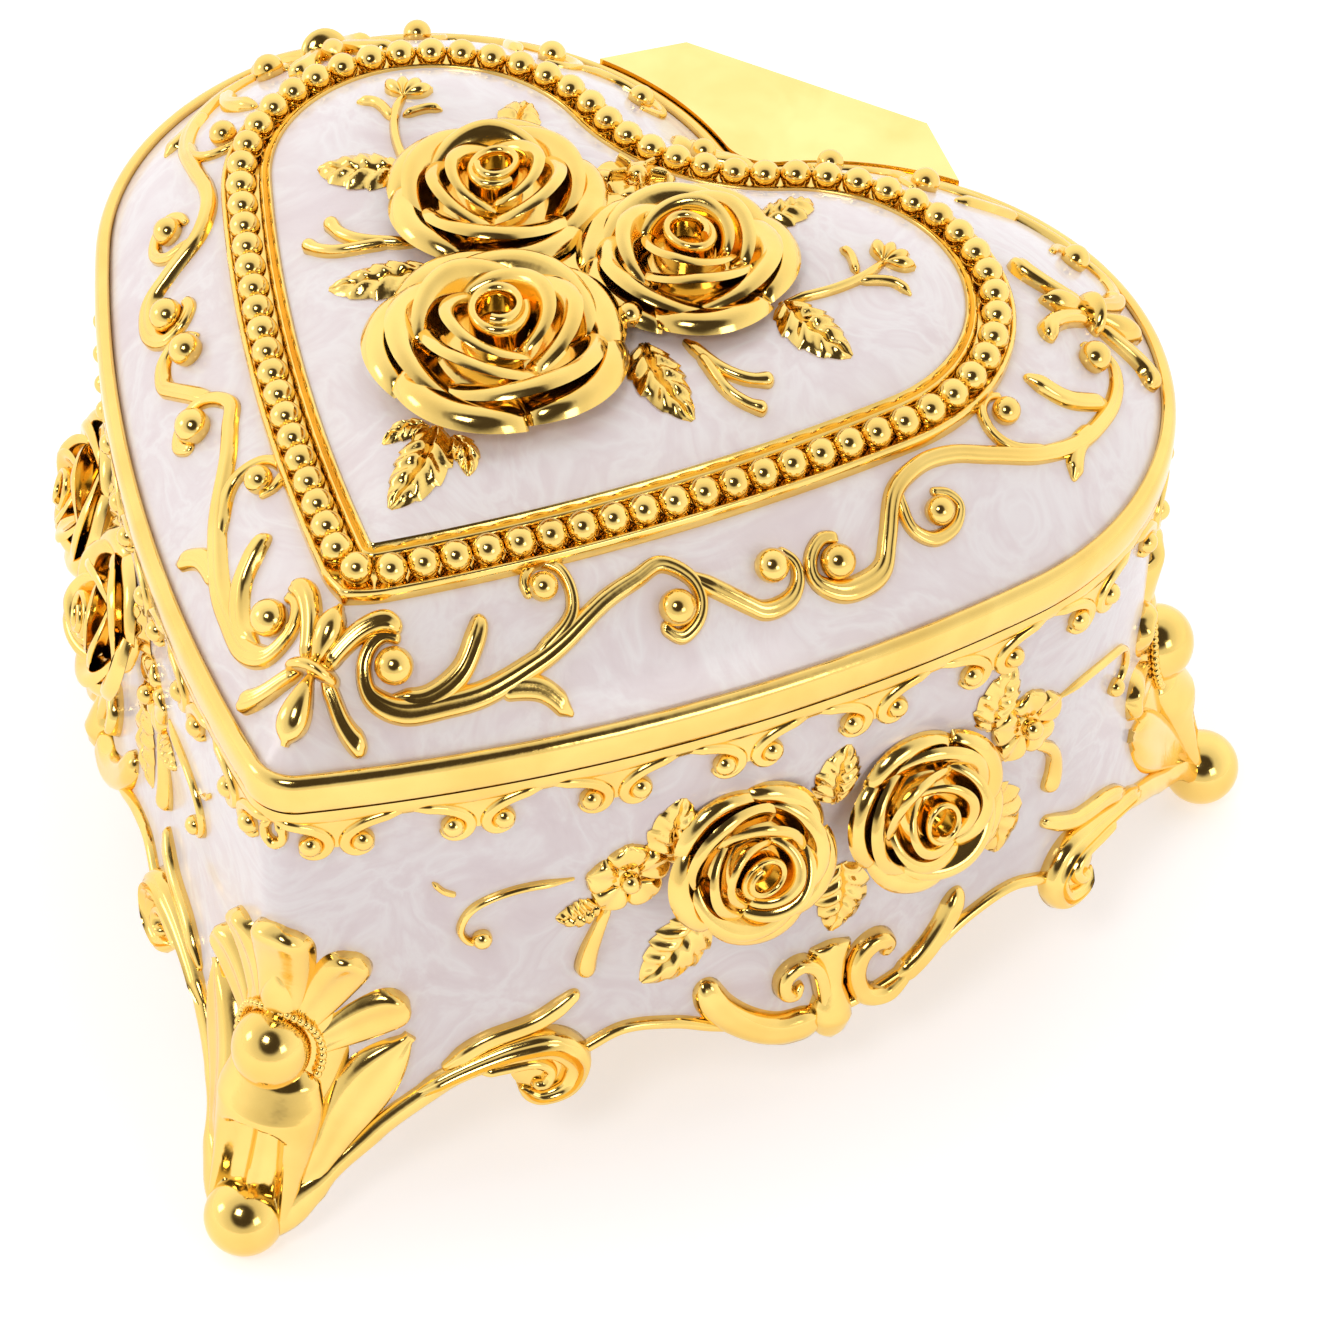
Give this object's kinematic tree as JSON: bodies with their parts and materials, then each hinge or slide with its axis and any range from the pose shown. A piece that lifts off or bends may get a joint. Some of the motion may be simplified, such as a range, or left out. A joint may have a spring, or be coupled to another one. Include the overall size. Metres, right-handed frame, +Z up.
{
  "type": "wind up music box",
  "caption": "Heart-shaped wind-up music box: domed hinged lid with beaded border and roses, enamel wall on acanthus legs, comb-and-drum movement wound by a key below.",
  "frame": {"origin": "on the ground under the middle of the box's bounding box", "axes": "+Z up, -Y towards the heart's tip, hinge at +Y, X across the lobes"},
  "size_m": [0.1236, 0.122, 0.0815],
  "materials": {
    "enamel": "pearl enamel on cast metal, glossy, faintly swirled pink and white",
    "gold": "polished gold plate on cast metal",
    "base": "satin gold lacquer on sheet metal",
    "card": "plain fibreboard",
    "velvet": "short red velvet",
    "steel": "bright steel",
    "frame_metal": "die-cast, satin",
    "movement_brass": "machined brass",
    "fan_plastic": "moulded plastic"
  },
  "bodies": {
    "base": {"body_shell": "enamel", "apron_pendants": "gold", "tip_leg": "gold", "left_leg": "gold", "right_leg": "gold", "leg_screws": "steel", "base_plate": "base", "base_screws": "steel", "false_floor": "card", "floor_lining": "velvet", "right_wall_roses": "gold", "left_wall_roses": "gold", "right_wall_leaves": "gold", "left_wall_leaves": "gold", "rim_strip": "gold", "apron_scrolls": "gold", "hinge_housing": "gold", "hinge_pin": "gold", "bedplate": "frame_metal", "movement_screws": "steel", "comb": "steel", "comb_screws": "steel", "spring_housing": "frame_metal", "mainspring": "steel", "left_bearing": "frame_metal", "right_bearing": "frame_metal", "governor_post": "frame_metal", "worm_frame": "frame_metal", "stop_guide": "frame_metal"},
    "lid": {"lid_shell": "enamel", "lid_band": "gold", "bead_border": "gold", "lid_roses": "gold", "lid_scrolls": "gold", "lid_leaves": "gold", "lid_lining": "velvet", "hinge_plate": "gold"},
    "winder": {"winding_arbor": "steel", "drive_wheel": "movement_brass", "winding_key": "gold"},
    "drum": {"drum": "movement_brass", "drum_arbor": "steel", "drum_pinion": "movement_brass", "drum_gear": "movement_brass"},
    "governor": {"governor_arbor": "steel", "governor_pinion": "movement_brass", "worm_wheel": "movement_brass"},
    "fan": {"worm": "steel", "fan": "fan_plastic"},
    "stop": {"stop_rod": "steel"}
  },
  "joints": [
    {"name": "lid_hinge", "type": "hinge", "parent": "base", "child": "lid", "pos_m": [0, 0.0584, 0.0537], "axis": [-1, 0, 0], "range_deg": [0, 100]},
    {"name": "key_turn", "type": "hinge", "parent": "base", "child": "winder", "pos_m": [-0.013, 0.0124, 0.01], "axis": [0, 0, 1], "continuous": true},
    {"name": "drum_turn", "type": "hinge", "parent": "base", "child": "drum", "pos_m": [0.009, 0.0124, 0.0274], "axis": [1, 0, 0], "continuous": true},
    {"name": "governor_turn", "type": "hinge", "parent": "base", "child": "governor", "pos_m": [0.02, 0.0204, 0.0274], "axis": [1, 0, 0], "continuous": true},
    {"name": "fan_spin", "type": "hinge", "parent": "base", "child": "fan", "pos_m": [0.022, 0.0269, 0.0274], "axis": [0, 0, 1], "continuous": true},
    {"name": "stop_slide", "type": "slide", "parent": "base", "child": "stop", "axis": [0, 0, 1], "range_m": [0, 0.003]}
  ],
  "couplings": [
    {"joint": "drum_turn", "follows": "key_turn", "ratio": -3.25},
    {"joint": "governor_turn", "follows": "key_turn", "ratio": 9.75},
    {"joint": "fan_spin", "follows": "key_turn", "ratio": -195},
    {"joint": "stop_slide", "follows": "lid_hinge", "m_per_rad": 0.00171}
  ]
}
